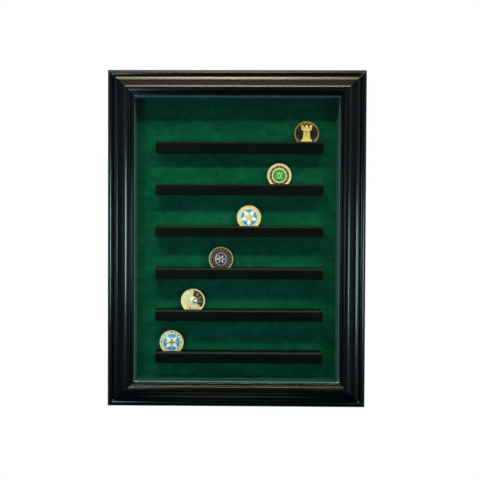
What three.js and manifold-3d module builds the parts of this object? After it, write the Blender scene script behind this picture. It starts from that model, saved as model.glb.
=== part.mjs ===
import * as THREE from "three";
import { mergeVertices } from "three/addons/utils/BufferGeometryUtils.js";
import Module from "manifold-3d";

// Wall-hung coin display case. A mitred, moulded door with a glass pane is hinged on a shallow
// back frame, in front of a suede-covered board with grooved ledges that hold coins on edge.
// Millimetres. The front faces -Y, +X is right seen from the front and +Z is up. Depths are
// measured forward from the wall, widths and heights from the middle of the case.
// The origin lies on the wall, at the middle of the rear face of the back frame's top rail.

const wasm = await Module();
wasm.setup();

// Door
const doorWidth = 400;
const doorHeight = 522;
const doorGap = 1;
const mitreLine = 0.1;
const glueLine = 0.1;

// Moulding section, named from its outer edge inward
const mouldingWidth = 44;
const mouldingHeight = 37;
const beadRadius = 4;
const quirkWidth = 0.9;
const quirkHeight = 5;
const shoulderFoot = 8;
const shoulderWidth = 7.6;
const shoulderRise = 7.5;
const filletWidth = 1;
const ridgeRoundWidth = 4.2;
const ridgeRoundRise = 4;
const ridgeWall = 1;
const ridgeFlat = 0.9;
const ridgeInnerRadius = 2;
const sightDrop = 5.5;
const sightGrooveWidth = 3.3;
const sightBeadRadius = 1.5;
const sightChamfer = 1.1;
const lipThickness = 5;
const rabbetWidth = 6;

// Glass and the suede-covered strips that hold it
const glassThickness = 2.5;
const glassClearance = 1;

// Back frame, its panel, the display board and the suede
const overhang = 14;
const frameDepth = 22;
const panelThickness = 3;
const panelLip = 8;
const panelRecess = 8;
const panelClearance = 0.5;
const boardThickness = 6;
const boardClearance = 0.3;
const suedeThickness = 0.9;
const linerThickness = 2.4;

// Coin ledges
const ledgeSpacing = 65;
const ledgeHeight = 17;
const ledgeDepth = 20;
const ledgeChamfer = 2.6;
const ledgeLeftMargin = 31;
const ledgeRightMargin = 23;
const bottomMargin = 25;
const topMargin = 84;
const grooveDepth = 6;
const grooveSetback = 10;
const grooveClearance = 0.5;

// Coins
const coinRadius = 19.05;
const coinThickness = 3;
const coinRimWidth = 1.4;
const coinFieldDepth = 0.4;
const coinRest = 0.3;
const coinEndRoom = 1;
const reliefRise = 0.3;
const coinPlaceShares = [0.977, 0.785, 0.57, 0.372, 0.173, 0.021];

// Hinges
const hingeLength = 50;
const hingeFromEnd = 102;
const knuckleRadius = 3.5;
const knuckleCount = 5;
const knuckleGap = 0.3;
const leafThickness = 1.5;
const frameLeafReach = 16;
const doorLeafReach = 20;
const leafClearance = 0.2;
const knuckleClearance = 0.4;
const pinRadius = 1.5;
const pinClearance = 0.12;
const pinStickOut = 0.8;

// Screws
const screwHeadRadius = 2.6;
const screwHeadDepth = 1.5;
const screwRadius = 1.4;
const screwLength = 10;
const screwTip = 1.6;
const screwClearance = 0.2;
const leafScrewSpacing = 17;
const frameScrewOffset = 10;
const doorScrewOffset = 12;
const panelScrewHead = 1.6;
const panelScrewFromEnd = 67.5;
const ledgeScrewShare = 0.36;

// Magnet catches
const magnetRadius = 5;
const magnetHeight = 4;
const magnetFromEnd = 67;
const catchStandOff = 0.3;
const strikeRadius = 6;
const strikeThickness = 1.3;

// Keyhole hangers
const hangerWidth = 16;
const hangerHeight = 40;
const hangerThickness = 1.6;
const hangerDrop = 50;
const keyholeRadius = 4.75;
const keyholeSlot = 5;
const keyholeRise = 9;
const hangerPocketWidth = 11;
const hangerPocketHeight = 23;
const hangerPocketDepth = 8;
const hangerScrewFromEnd = 5;

// Corner nails, driven across the mitres from behind
const nailFromEdge = 19;
const nailLeg = 7;
const nailThickness = 1;
const nailHeight = 10;
const nailClearance = 0.15;

// Steps round curved outlines, and the overrun that cuts share
const mouldingSteps = 6;
const hingeSteps = 16;
const screwSteps = 8;
const coinSteps = 48;
const ringSteps = 10;
const beadSteps = 3;
const overrun = 5;

// Depths in front of the wall
const doorBack = frameDepth + doorGap;
const sightHeight = mouldingHeight - sightDrop;
const glassSeat = sightHeight - lipThickness;
const glassFront = doorBack + glassSeat - glueLine;
const glassRear = glassFront - glassThickness;
const boardFront = panelRecess + boardThickness;
const suedeFront = boardFront + glueLine + suedeThickness;
const ledgeRear = suedeFront + glueLine;
const ledgeFront = ledgeRear + ledgeDepth;
const coinDepth = ledgeFront - grooveSetback;

// Half widths and half heights
const sight = { x: doorWidth / 2 - mouldingWidth, z: doorHeight / 2 - mouldingWidth };
const frame = { x: doorWidth / 2 - overhang, z: doorHeight / 2 - overhang };
const linerReach = linerThickness + glueLine;
const opening = { x: sight.x + linerReach, z: sight.z + linerReach };
const recess = { x: opening.x + panelLip, z: opening.z + panelLip };
const stileMiddle = (frame.x + opening.x) / 2;
const originHeight = (frame.z + recess.z) / 2;

// Ledges
const ledgeLeft = ledgeLeftMargin - sight.x;
const ledgeRight = sight.x - ledgeRightMargin;
const ledgeMiddle = (ledgeLeft + ledgeRight) / 2;
const ledgeRoom = 2 * sight.z - bottomMargin - topMargin;
const ledgeCount = Math.round(ledgeRoom / ledgeSpacing) + 1;
const ledgePitch = ledgeRoom / (ledgeCount - 1);
const topLedge = sight.z - topMargin;
const grooveWidth = coinThickness + 2 * grooveClearance;

// Hinge pivot
const hinge = {
  x: -(frame.x + glueLine + knuckleRadius),
  depth: doorBack + leafThickness - knuckleRadius,
};

const finishes = {
  lacquer: { color: 0x15181a, roughness: 0.35, metalness: 0 },
  rawWood: { color: 0x2a2a2a, roughness: 0.7, metalness: 0 },
  hardboard: { color: 0x5b4028, roughness: 0.8, metalness: 0 },
  suede: { color: 0x0e4c30, roughness: 0.95, metalness: 0 },
  ledge: { color: 0x101414, roughness: 0.7, metalness: 0 },
  glass: { color: 0xe6f2ee, roughness: 0.05, metalness: 0, transparent: true, opacity: 0.15 },
  steel: { color: 0xb8babd, roughness: 0.35, metalness: 1 },
  blackSteel: { color: 0x1b1b1c, roughness: 0.5, metalness: 0.8 },
  gold: { color: 0xd8b45c, roughness: 0.3, metalness: 1 },
  bronze: { color: 0x9c7440, roughness: 0.4, metalness: 1 },
};

const coinCase = new THREE.Group();
coinCase.position.z = -originHeight;

// Adds one named piece to the case.
function addPiece(name, shape, finish, place = new THREE.Vector3()) {
  const geometry = shape.isBufferGeometry ? shape : toGeometry(shape);
  const piece = new THREE.Mesh(geometry, new THREE.MeshStandardMaterial(finishes[finish]));
  piece.name = name;
  piece.position.copy(place);
  coinCase.add(piece);
}

// A closed geometry as a solid, without the slivers that a lathe leaves on its axis.
function toSolid(shape) {
  if (!shape.isBufferGeometry) return shape;
  const bare = new THREE.BufferGeometry();
  bare.setAttribute("position", shape.attributes.position);
  bare.setIndex(shape.index);
  const merged = mergeVertices(bare);
  const corners = [];
  for (let i = 0; i < merged.index.count; i += 3) {
    const [a, b, c] = [0, 1, 2].map((step) => merged.index.getX(i + step));
    if (a !== b && b !== c && c !== a) corners.push(a, b, c);
  }
  const vertProperties = merged.attributes.position.array;
  const triVerts = new Uint32Array(corners);
  return new wasm.Manifold(new wasm.Mesh({ numProp: 3, vertProperties, triVerts }));
}

// A solid as a geometry.
function toGeometry(solid) {
  const mesh = solid.getMesh();
  const geometry = new THREE.BufferGeometry();
  geometry.setAttribute("position", new THREE.BufferAttribute(mesh.vertProperties, 3));
  geometry.setIndex(new THREE.BufferAttribute(mesh.triVerts, 1));
  geometry.computeVertexNormals();
  return geometry;
}

// One shape with others joined to it.
function join(base, ...shapes) {
  return shapes.reduce((solid, shape) => solid.add(toSolid(shape)), toSolid(base));
}

// One shape with others cut out of it.
function cut(base, ...shapes) {
  return shapes.reduce((solid, shape) => solid.subtract(toSolid(shape)), toSolid(base));
}

// A block between two widths, two depths in front of the wall and two heights.
function block(left, right, rear, front, bottom, top) {
  const box = new THREE.BoxGeometry(right - left, front - rear, top - bottom);
  return box.translate((left + right) / 2, -(rear + front) / 2, (bottom + top) / 2);
}

// A round bar that runs forward from one depth to another.
function forwardRod(radius, x, rear, front, z, steps = screwSteps) {
  const rod = new THREE.CylinderGeometry(radius, radius, front - rear, steps);
  return rod.translate(x, -(rear + front) / 2, z);
}

// A round bar that stands upright on the hinge axis.
function uprightRod(radius, bottom, top) {
  const rod = new THREE.CylinderGeometry(radius, radius, top - bottom, hingeSteps);
  return rod.rotateX(Math.PI / 2).translate(hinge.x, -hinge.depth, (bottom + top) / 2);
}

// A countersunk wood screw whose head lies at the origin and whose tip points along +Y.
function woodScrew(length) {
  const profile = [
    new THREE.Vector2(0, 0),
    new THREE.Vector2(screwHeadRadius, 0),
    new THREE.Vector2(screwRadius, screwHeadDepth),
    new THREE.Vector2(screwRadius, length - screwTip),
    new THREE.Vector2(0, length),
  ];
  return new THREE.LatheGeometry(profile, screwSteps);
}

// The pilot hole of such a screw, cut along +Y from the face that it enters.
function pilotHole(length) {
  const radius = screwRadius + screwClearance;
  const depth = length + screwClearance;
  const hole = new THREE.CylinderGeometry(radius, radius, depth + overrun, screwSteps);
  return hole.translate(0, (depth - overrun) / 2, 0);
}

// Turns a screw or its hole so that the tip points forward, out from the wall.
function pointForward(shape, x, depth, z) {
  return shape.rotateX(Math.PI).translate(x, -depth, z);
}

// Turns a screw or its hole so that the tip points to the right.
function pointRight(shape, x, depth, z) {
  return shape.rotateZ(-Math.PI / 2).translate(x, -depth, z);
}

// The moulding's section: x runs inward from the outer edge, y forward from the back.
function mouldingSection() {
  const shoulder = 2 * beadRadius + quirkWidth;
  const shoulderTop = shoulderFoot + shoulderRise;
  const cove = shoulder + shoulderWidth + filletWidth;
  const chamfer = mouldingWidth - sightChamfer;
  const sightBead = chamfer - sightBeadRadius;
  const sightGroove = sightBead - sightBeadRadius - sightGrooveWidth;
  const ridgeInner = sightGroove - ridgeInnerRadius;
  const ridgeOuter = ridgeInner - ridgeFlat;
  const coveEnd = ridgeOuter - ridgeRoundWidth;
  const coveTop = mouldingHeight - ridgeRoundRise - ridgeWall;
  const quarter = Math.PI / 2;
  const section = new THREE.Shape();
  section.lineTo(0, beadRadius);
  section.absarc(beadRadius, beadRadius, beadRadius, 2 * quarter, 0, true);
  section.lineTo(2 * beadRadius, quirkHeight);
  section.lineTo(shoulder, quirkHeight);
  section.lineTo(shoulder, shoulderFoot);
  section.absellipse(
    shoulder + shoulderWidth, shoulderFoot, shoulderWidth, shoulderRise, 2 * quarter, quarter, true);
  section.lineTo(cove, shoulderTop);
  section.absellipse(cove, coveTop, coveEnd - cove, coveTop - shoulderTop, -quarter, 0, false);
  section.lineTo(coveEnd, coveTop + ridgeWall);
  section.absellipse(
    ridgeOuter, coveTop + ridgeWall, ridgeRoundWidth, ridgeRoundRise, 2 * quarter, quarter, true);
  section.lineTo(ridgeInner, mouldingHeight);
  section.absarc(ridgeInner, mouldingHeight - ridgeInnerRadius, ridgeInnerRadius, quarter, 0, true);
  section.lineTo(sightGroove, sightHeight);
  section.lineTo(sightGroove + sightGrooveWidth, sightHeight);
  section.absarc(sightBead, sightHeight, sightBeadRadius, 2 * quarter, 0, true);
  section.lineTo(mouldingWidth, sightHeight - sightChamfer);
  section.lineTo(mouldingWidth, glassSeat);
  section.lineTo(mouldingWidth - rabbetWidth, glassSeat);
  section.lineTo(mouldingWidth - rabbetWidth, 0);
  section.closePath();
  return section;
}

// A length of moulding whose outer edge lies out from the middle, against the inward
// direction. Its ends are mitred: each point is drawn in as far as it lies from that edge.
function mitredMoulding(inward, reach, length) {
  const bar = new THREE.ExtrudeGeometry(mouldingSection(), {
    depth: length, bevelEnabled: false, curveSegments: mouldingSteps,
  });
  const points = bar.attributes.position;
  for (let i = 0; i < points.count; i++) {
    const inset = points.getX(i) + mitreLine;
    points.setZ(i, points.getZ(i) > length / 2 ? length - inset : inset);
  }
  const forward = new THREE.Vector3(0, -1, 0);
  const along = new THREE.Vector3().crossVectors(inward, forward);
  const start = new THREE.Vector3()
    .addScaledVector(inward, -reach)
    .addScaledVector(forward, doorBack)
    .addScaledVector(along, -length / 2);
  return bar.applyMatrix4(new THREE.Matrix4().makeBasis(inward, forward, along).setPosition(start));
}

// A corner nail's two legs, which run from a point on the mitre along both members.
function cornerNail(sideX, sideZ, clearance) {
  const half = nailThickness / 2 + clearance;
  const apex = { x: doorWidth / 2 - nailFromEdge, z: doorHeight / 2 - nailFromEdge };
  const front = doorBack + nailHeight + clearance;
  const rear = doorBack - (clearance > 0 ? overrun : 0);
  const reach = nailLeg + clearance;
  const legs = [
    [apex.x - reach, apex.x + half, apex.z - half, apex.z + half],
    [apex.x - half, apex.x + half, apex.z - reach, apex.z + half],
  ];
  const blocks = legs.map(([near, far, low, high]) => {
    const [left, right] = [sideX * near, sideX * far].sort((a, b) => a - b);
    const [bottom, top] = [sideZ * low, sideZ * high].sort((a, b) => a - b);
    return block(left, right, rear, front, bottom, top);
  });
  return join(...blocks);
}

// The recess behind one hinge's door leaf, which also clears the knuckles.
function doorMortise(z) {
  const half = hingeLength / 2 + leafClearance;
  const left = hinge.x - knuckleRadius - knuckleClearance;
  const right = hinge.x + doorLeafReach + leafClearance;
  return block(left, right, doorBack - overrun, doorBack + leafThickness + glueLine, z - half, z + half);
}

const hingeHeights = { upper: frame.z - hingeFromEnd, lower: hingeFromEnd - frame.z };
const magnetHeights = { upper: frame.z - magnetFromEnd, lower: magnetFromEnd - frame.z };
const screwRows = [-leafScrewSpacing, 0, leafScrewSpacing];

// The four mitred members of the door.
function addDoorFrame() {
  const right = new THREE.Vector3(1, 0, 0);
  const up = new THREE.Vector3(0, 0, 1);
  const topRail = mitredMoulding(up.clone().negate(), doorHeight / 2, doorWidth);
  const bottomRail = mitredMoulding(up, doorHeight / 2, doorWidth);
  const hingeStile = mitredMoulding(right, doorWidth / 2, doorHeight);
  const latchStile = mitredMoulding(right.clone().negate(), doorWidth / 2, doorHeight);
  const slots = [-1, 1].map((sideX) => [-1, 1].map((sideZ) => cornerNail(sideX, sideZ, nailClearance)));
  const hingeCuts = Object.values(hingeHeights).flatMap((z) => [
    doorMortise(z),
    ...screwRows.map((row) =>
      pointForward(pilotHole(screwLength), hinge.x + doorScrewOffset, doorBack, z + row)),
  ]);
  const strikeFloor = doorBack + strikeThickness - catchStandOff + glueLine;
  const strikeCuts = Object.values(magnetHeights).flatMap((z) => [
    forwardRod(strikeRadius + screwClearance, stileMiddle, doorBack - overrun, strikeFloor, z, hingeSteps),
    pointForward(pilotHole(screwLength), stileMiddle, doorBack, z),
  ]);
  addPiece("door_top_rail", cut(topRail, slots[0][1], slots[1][1]), "lacquer");
  addPiece("door_bottom_rail", cut(bottomRail, slots[0][0], slots[1][0]), "lacquer");
  addPiece("door_hinge_stile", cut(hingeStile, ...slots[0], ...hingeCuts), "lacquer");
  addPiece("door_latch_stile", cut(latchStile, ...slots[1], ...strikeCuts), "lacquer");
}

function addCornerNails() {
  const corners = { upper_left: [-1, 1], upper_right: [1, 1], lower_left: [-1, -1], lower_right: [1, -1] };
  for (const [corner, [sideX, sideZ]] of Object.entries(corners)) {
    addPiece(`mitre_nail_${corner}`, cornerNail(sideX, sideZ, 0), "steel");
  }
}

// The pane lies behind the moulding's lip. Suede-covered strips hold it there and line the
// door, flush with the sight edge.
function addGlazing() {
  const reach = rabbetWidth - glassClearance;
  const pane = { x: sight.x + reach, z: sight.z + reach };
  const outer = { x: sight.x + rabbetWidth - glueLine, z: sight.z + rabbetWidth - glueLine };
  const front = glassRear - glueLine;
  const side = sight.z - glueLine;
  addPiece("glass_pane", block(-pane.x, pane.x, glassRear, glassFront, -pane.z, pane.z), "glass");
  addPiece("glass_strip_top", block(-outer.x, outer.x, doorBack, front, sight.z, outer.z), "suede");
  addPiece("glass_strip_bottom", block(-outer.x, outer.x, doorBack, front, -outer.z, -sight.z), "suede");
  addPiece("glass_strip_left", block(-outer.x, -sight.x, doorBack, front, -side, side), "suede");
  addPiece("glass_strip_right", block(sight.x, outer.x, doorBack, front, -side, side), "suede");
}

// The recess in the frame's rear face that takes the back panel.
function panelRecessCut() {
  return block(-recess.x, recess.x, -overrun, panelRecess, -recess.z, recess.z);
}

// Where the back panel's screws stand.
function panelScrewPlaces() {
  const x = opening.x + panelLip / 2;
  const z = recess.z - panelScrewFromEnd;
  return [-x, x].flatMap((side) => [z, 0, -z].map((height) => ({ x: side, z: height })));
}

// Rails and stiles meet in half laps: the rails run through in front, the stiles behind.
function addBackFrame() {
  const lap = frameDepth / 2;
  const end = opening.x + glueLine;
  const rail = (bottom, top) => cut(
    block(-frame.x, frame.x, 0, frameDepth, bottom, top),
    block(-frame.x - overrun, -opening.x, -overrun, lap + glueLine, bottom - overrun, top + overrun),
    block(opening.x, frame.x + overrun, -overrun, lap + glueLine, bottom - overrun, top + overrun),
    panelRecessCut(),
  );
  addPiece("back_frame_top_rail", rail(opening.z, frame.z), "rawWood");
  addPiece("back_frame_bottom_rail", rail(-frame.z, -opening.z), "rawWood");

  const near = opening.z - glueLine;
  const far = frame.z + overrun;
  const upright = (left, right) => cut(
    block(left, right, 0, frameDepth, -frame.z, frame.z),
    block(left - overrun, right + overrun, lap, frameDepth + overrun, near, far),
    block(left - overrun, right + overrun, lap, frameDepth + overrun, -far, -near),
    panelRecessCut(),
  );
  const panelHoles = panelScrewPlaces().map(({ x, z }) =>
    pointForward(pilotHole(screwLength), x, panelRecess - panelThickness, z));
  const leafHoles = Object.values(hingeHeights).flatMap((z) => screwRows.map((row) =>
    pointRight(pilotHole(screwLength), -frame.x - leafThickness, hinge.depth - frameScrewOffset, z + row)));
  const magnetHoles = Object.values(magnetHeights).map((z) => forwardRod(
    magnetRadius + screwClearance, stileMiddle, frameDepth + catchStandOff - magnetHeight - glueLine,
    frameDepth + overrun, z, hingeSteps));
  const leftStile = cut(upright(-frame.x, -end), ...panelHoles, ...leafHoles, ...hangerCuts(-1));
  const rightStile = cut(upright(end, frame.x), ...panelHoles, ...magnetHoles, ...hangerCuts(1));
  addPiece("back_frame_left_stile", leftStile, "rawWood");
  addPiece("back_frame_right_stile", rightStile, "rawWood");
}

// Middle of the hanger plate on one side, on the flat of the stile outside the panel's recess.
function hangerPlace(side) {
  return { x: side * (frame.x + recess.x) / 2, z: frame.z - hangerDrop };
}

function hangerOutline(clearance) {
  const half = hangerWidth / 2 + clearance;
  const straight = (hangerHeight - hangerWidth) / 2;
  const outline = new THREE.Shape();
  outline.absarc(0, straight, half, 0, Math.PI, false);
  outline.absarc(0, -straight, half, Math.PI, 2 * Math.PI, false);
  return outline;
}

// A flat outline in the plane of the wall, made into a plate between two depths.
function plate(outline, x, rear, front, z, steps) {
  const options = { depth: front - rear, bevelEnabled: false, curveSegments: steps };
  const flat = new THREE.ExtrudeGeometry(outline, options);
  return flat.rotateX(Math.PI / 2).translate(x, -rear, z);
}

// What one hanger needs in its stile: a shallow seat, a pocket for the wall screw, pilot holes.
function hangerCuts(side) {
  const { x, z } = hangerPlace(side);
  const seatDepth = hangerThickness + glueLine;
  const halfWidth = hangerPocketWidth / 2;
  const halfHeight = hangerPocketHeight / 2;
  const row = hangerHeight / 2 - hangerScrewFromEnd;
  return [
    plate(hangerOutline(screwClearance), x, -overrun, seatDepth, z, mouldingSteps),
    block(x - halfWidth, x + halfWidth, 0, hangerPocketDepth, z - halfHeight, z + halfHeight),
    pointForward(pilotHole(screwLength), x, 0, z + row),
    pointForward(pilotHole(screwLength), x, 0, z - row),
  ];
}

// Keyhole plates, let in flush with the rear face of the stiles.
function addHangers() {
  const row = hangerHeight / 2 - hangerScrewFromEnd;
  const slotHalf = keyholeSlot / 2;
  for (const [name, side] of [["left", -1], ["right", 1]]) {
    const { x, z } = hangerPlace(side);
    const entry = z - keyholeRise / 2;
    const slotEnd = z + keyholeRise / 2;
    const keyhole = [
      forwardRod(keyholeRadius, x, -overrun, hangerThickness + overrun, entry, hingeSteps),
      block(x - slotHalf, x + slotHalf, -overrun, hangerThickness + overrun, entry, slotEnd),
      forwardRod(slotHalf, x, -overrun, hangerThickness + overrun, slotEnd),
    ];
    const flat = plate(hangerOutline(0), x, 0, hangerThickness, z, mouldingSteps);
    const screws = [z + row, z - row].map((height) => pointForward(woodScrew(screwLength), x, 0, height));
    addPiece(`keyhole_hanger_${name}`, join(cut(flat, ...keyhole), ...screws), "steel");
  }
}

// Hardboard back panel, held in its recess by screws round the edge.
function addBackPanel() {
  const half = { x: recess.x - panelClearance, z: recess.z - panelClearance };
  const front = panelRecess - glueLine;
  const rear = front - panelThickness;
  const places = panelScrewPlaces();
  const holes = places.map(({ x, z }) => pointForward(pilotHole(screwLength), x, rear, z));
  const sheet = block(-half.x, half.x, rear, front, -half.z, half.z);
  addPiece("back_panel", cut(sheet, ...holes), "hardboard");
  places.forEach(({ x, z }, index) => {
    const head = new THREE.CylinderGeometry(screwHeadRadius, screwHeadRadius, panelScrewHead, screwSteps);
    head.translate(0, -panelScrewHead / 2 - glueLine, 0);
    const shank = new THREE.CylinderGeometry(screwRadius, screwRadius, screwLength, screwSteps);
    shank.translate(0, (screwLength - panelScrewHead) / 2 - glueLine, 0);
    addPiece(`panel_screw_${index + 1}`, pointForward(toGeometry(join(head, shank)), x, rear, z), "steel");
  });
}

// Where the screws stand that hold each ledge from behind the board.
function ledgeScrewPlaces() {
  const offset = ledgeScrewShare * (ledgeRight - ledgeLeft);
  return [ledgeMiddle - offset, ledgeMiddle + offset];
}

// Heights of the ledges' undersides, from the top ledge down.
function ledgeHeights() {
  return Array.from({ length: ledgeCount }, (_, index) => topLedge - index * ledgePitch);
}

// The board, the suede on its face and the strips of suede round the back frame's opening.
function addDisplayBoard() {
  const half = { x: opening.x - boardClearance, z: opening.z - boardClearance };
  const radius = screwHeadRadius + screwClearance;
  const holes = ledgeHeights().flatMap((bottom) => ledgeScrewPlaces().flatMap((x) => {
    const z = bottom + ledgeHeight / 2;
    const sink = forwardRod(radius, x, panelRecess - overrun, panelRecess + screwHeadDepth, z);
    return [sink, pointForward(pilotHole(screwLength), x, panelRecess, z)];
  }));
  const board = block(-half.x, half.x, panelRecess, boardFront, -half.z, half.z);
  const suede = block(-half.x, half.x, boardFront + glueLine, suedeFront, -half.z, half.z);
  addPiece("display_board", cut(board, ...holes), "rawWood");
  addPiece("suede_backing", cut(suede, ...holes), "suede");

  const rear = suedeFront + glueLine;
  const outer = { x: opening.x - glueLine, z: opening.z - glueLine };
  const side = sight.z - glueLine;
  addPiece("liner_top", block(-outer.x, outer.x, rear, frameDepth, sight.z, outer.z), "suede");
  addPiece("liner_bottom", block(-outer.x, outer.x, rear, frameDepth, -outer.z, -sight.z), "suede");
  addPiece("liner_left", block(-outer.x, -sight.x, rear, frameDepth, -side, side), "suede");
  addPiece("liner_right", block(sight.x, outer.x, rear, frameDepth, -side, side), "suede");
}

// A ledge's section: x runs forward from its rear face, y up from its underside.
function ledgeSection() {
  const grooveFront = ledgeDepth - grooveSetback + grooveWidth / 2;
  const grooveRear = grooveFront - grooveWidth;
  const section = new THREE.Shape();
  section.lineTo(ledgeDepth, 0);
  section.lineTo(ledgeDepth, ledgeHeight - ledgeChamfer);
  section.lineTo(ledgeDepth - ledgeChamfer, ledgeHeight);
  section.lineTo(grooveFront, ledgeHeight);
  section.lineTo(grooveFront, ledgeHeight - grooveDepth);
  section.lineTo(grooveRear, ledgeHeight - grooveDepth);
  section.lineTo(grooveRear, ledgeHeight);
  section.lineTo(0, ledgeHeight);
  section.closePath();
  return section;
}

// Ledges with their screws, which enter from behind the board and stay with the ledge.
function addLedges() {
  const forward = new THREE.Vector3(0, -1, 0);
  const up = new THREE.Vector3(0, 0, 1);
  const along = new THREE.Vector3().crossVectors(forward, up);
  ledgeHeights().forEach((bottom, index) => {
    const bar = new THREE.ExtrudeGeometry(ledgeSection(), {
      depth: ledgeRight - ledgeLeft, bevelEnabled: false,
    });
    const start = new THREE.Vector3(ledgeRight, -ledgeRear, bottom);
    bar.applyMatrix4(new THREE.Matrix4().makeBasis(forward, up, along).setPosition(start));
    const screws = ledgeScrewPlaces().map((x) => pointForward(
      woodScrew(screwLength), x, panelRecess + glueLine, bottom + ledgeHeight / 2));
    addPiece(`coin_ledge_${index + 1}`, join(bar, ...screws), "ledge");
  });
}

// One leaf's knuckles, bored for the pin, with the tabs that tie them to its plate.
function hingeLeaf(z, first, platePieces, tabPiece) {
  const pitch = (hingeLength + knuckleGap) / knuckleCount;
  const bottom = z - hingeLength / 2;
  const pieces = [...platePieces];
  for (let index = first; index < knuckleCount; index += 2) {
    const low = bottom + index * pitch;
    const high = low + pitch - knuckleGap;
    pieces.push(uprightRod(knuckleRadius, low, high), tabPiece(low, high));
  }
  const bore = uprightRod(pinRadius + pinClearance, bottom - overrun, bottom + hingeLength + overrun);
  return cut(join(...pieces), bore);
}

// Butt hinges: the frame leaf lies on the left stile's outer face, the door leaf in the
// mortise in the door's back, and the knuckles stand beside the frame.
function addHinges() {
  const rim = knuckleRadius + knuckleClearance;
  const outer = hinge.x + knuckleRadius - leafThickness;
  const inner = hinge.x + knuckleRadius;
  const front = doorBack + leafThickness;
  for (const [name, z] of Object.entries(hingeHeights)) {
    const [low, high] = [z - hingeLength / 2, z + hingeLength / 2];
    const framePlate = block(outer, inner, hinge.depth - frameLeafReach, hinge.depth - rim, low, high);
    const frameTab = (bottom, top) => block(
      outer, inner, hinge.depth - frameLeafReach, hinge.depth, bottom, top);
    const frameScrews = screwRows.map((row) =>
      pointRight(woodScrew(screwLength), outer, hinge.depth - frameScrewOffset, z + row));
    const doorPlate = block(hinge.x + rim, hinge.x + doorLeafReach, doorBack, front, low, high);
    const doorTab = (bottom, top) => block(hinge.x, hinge.x + doorLeafReach, doorBack, front, bottom, top);
    const doorScrews = screwRows.map((row) =>
      pointForward(woodScrew(screwLength), hinge.x + doorScrewOffset, doorBack, z + row));
    const frameLeaf = hingeLeaf(z, 0, [framePlate, ...frameScrews], frameTab);
    const doorLeaf = hingeLeaf(z, 1, [doorPlate, ...doorScrews], doorTab);
    addPiece(`hinge_${name}_frame_leaf`, frameLeaf, "blackSteel");
    addPiece(`hinge_${name}_door_leaf`, doorLeaf, "blackSteel");
    addPiece(`hinge_${name}_pin`, uprightRod(pinRadius, low - pinStickOut, high + pinStickOut), "steel");
  }
}

// Disc magnets in the right stile's front, and the steel discs that they hold on the door.
function addCatches() {
  for (const [name, z] of Object.entries(magnetHeights)) {
    const front = frameDepth + catchStandOff;
    const magnet = forwardRod(magnetRadius, stileMiddle, front - magnetHeight, front, z, hingeSteps);
    const rear = doorBack - catchStandOff;
    const disc = forwardRod(strikeRadius, stileMiddle, rear, rear + strikeThickness, z, hingeSteps);
    const screw = pointForward(woodScrew(screwLength), stileMiddle, rear, z);
    addPiece(`magnet_${name}`, magnet, "steel");
    addPiece(`strike_disc_${name}`, join(disc, screw), "steel");
  }
}

// A coin's blank: a raised rim round a sunk field on both faces, on an axis along Y.
function coinBlank() {
  const half = coinThickness / 2;
  const field = half - coinFieldDepth;
  const rimInner = coinRadius - coinRimWidth;
  const profile = [
    new THREE.Vector2(0, -field),
    new THREE.Vector2(rimInner - coinFieldDepth, -field),
    new THREE.Vector2(rimInner, -half),
    new THREE.Vector2(coinRadius, -half),
    new THREE.Vector2(coinRadius, half),
    new THREE.Vector2(rimInner, half),
    new THREE.Vector2(rimInner - coinFieldDepth, field),
    new THREE.Vector2(0, field),
  ];
  return new THREE.LatheGeometry(profile, coinSteps);
}

// Relief on a coin's front: an outline raised from the field.
function raised(outline, steps = ringSteps) {
  const field = coinThickness / 2 - coinFieldDepth;
  return plate(outline, 0, field - reliefRise, field + reliefRise, 0, steps);
}

// A closed outline through points given as shares of the coin's radius.
function outlineOf(shares) {
  return new THREE.Shape(shares.map(([x, z]) => new THREE.Vector2(x * coinRadius, z * coinRadius)));
}

// A ring between two shares of the radius, drawn narrower across by its width share.
function ringOutline(innerShare, outerShare, widthShare = 1) {
  const ring = new THREE.Shape();
  ring.absellipse(0, 0, outerShare * widthShare * coinRadius, outerShare * coinRadius, 0, 2 * Math.PI);
  const hole = new THREE.Path();
  hole.absellipse(0, 0, innerShare * widthShare * coinRadius, innerShare * coinRadius, 0, 2 * Math.PI);
  ring.holes.push(hole);
  return ring;
}

function discOutline(xShare, zShare, radiusShare) {
  const disc = new THREE.Shape();
  disc.absarc(xShare * coinRadius, zShare * coinRadius, radiusShare * coinRadius, 0, 2 * Math.PI);
  return disc;
}

// An outline with lobes, from a ripple round a circle.
function rippleOutline(lobes, middleShare, rippleShare, pointsPerLobe) {
  const count = lobes * pointsPerLobe;
  return outlineOf(Array.from({ length: count }, (_, index) => {
    const angle = (2 * Math.PI * index) / count;
    const radius = middleShare + rippleShare * Math.cos(lobes * angle);
    return [radius * Math.sin(angle), radius * Math.cos(angle)];
  }));
}

// Small raised beads set round the rim.
function beadRing(count, ringShare, beadShare) {
  return Array.from({ length: count }, (_, index) => {
    const angle = (2 * Math.PI * index) / count;
    const [x, z] = [ringShare * Math.sin(angle), ringShare * Math.cos(angle)];
    return raised(discOutline(x, z, beadShare), beadSteps);
  });
}

// Half of a tower's outline, from its foot up, which is mirrored for the other half.
const towerShares = [
  [0.44, -0.64], [0.44, -0.5], [0.3, -0.42], [0.24, 0.2], [0.42, 0.34],
  [0.42, 0.66], [0.25, 0.66], [0.25, 0.52], [0.1, 0.52], [0.1, 0.66],
];

// A moon's outline between two arcs.
function crescentOutline() {
  const crescent = new THREE.Shape();
  const [outer, inner] = [0.7 * coinRadius, 0.62 * coinRadius];
  crescent.absarc(0, 0, outer, -Math.PI / 3, Math.PI / 3, false);
  crescent.absarc(-outer / 4, 0, inner, Math.PI / 4, -Math.PI / 4, true);
  return crescent;
}

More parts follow.
